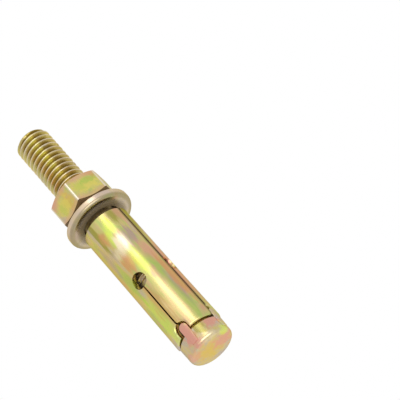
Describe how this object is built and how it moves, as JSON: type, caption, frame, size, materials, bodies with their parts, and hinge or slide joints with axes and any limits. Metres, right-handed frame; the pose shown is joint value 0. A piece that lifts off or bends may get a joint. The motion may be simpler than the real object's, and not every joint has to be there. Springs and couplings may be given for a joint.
{
  "type": "sleeve anchor",
  "caption": "Stud-type sleeve anchor in yellow zinc plate: threaded cone-head bolt, slotted expansion sleeve, flat washer and hex nut.",
  "frame": {"origin": "centre of the flat end face of the bolt's head, on which the anchor stands", "axes": "+Z along the bolt's axis to the threaded tip, +X through the hole beside the sleeve's open seam, -Y through the slot that the picture shows nearest the camera"},
  "size_m": [0.0184, 0.0184, 0.0794],
  "materials": {
    "plated_bolt": "yellow zinc plate",
    "plated_sleeve": "yellow zinc plate",
    "plated_washer": "yellow zinc plate",
    "plated_nut": "yellow zinc plate"
  },
  "bodies": {
    "bolt": {"cone_bolt": "plated_bolt"},
    "sleeve": {"expansion_sleeve": "plated_sleeve"},
    "washer": {"flat_washer": "plated_washer"},
    "nut": {"hex_nut": "plated_nut"}
  },
  "joints": [
    {"name": "sleeve_slide", "type": "slide", "parent": "bolt", "child": "sleeve", "axis": [0, 0, 1], "range_m": [0, 0.002]},
    {"name": "nut_travel", "type": "slide", "parent": "bolt", "child": "washer", "axis": [0, 0, 1], "range_m": [0, 0.02145]},
    {"name": "nut_spin", "type": "hinge", "parent": "washer", "child": "nut", "pos_m": [0, 0, 0.0495], "axis": [0, 0, 1], "range_deg": [0, 4865]}
  ],
  "couplings": [
    {"joint": "nut_travel", "follows": "nut_spin", "m_per_rad": 0.00025266}
  ]
}
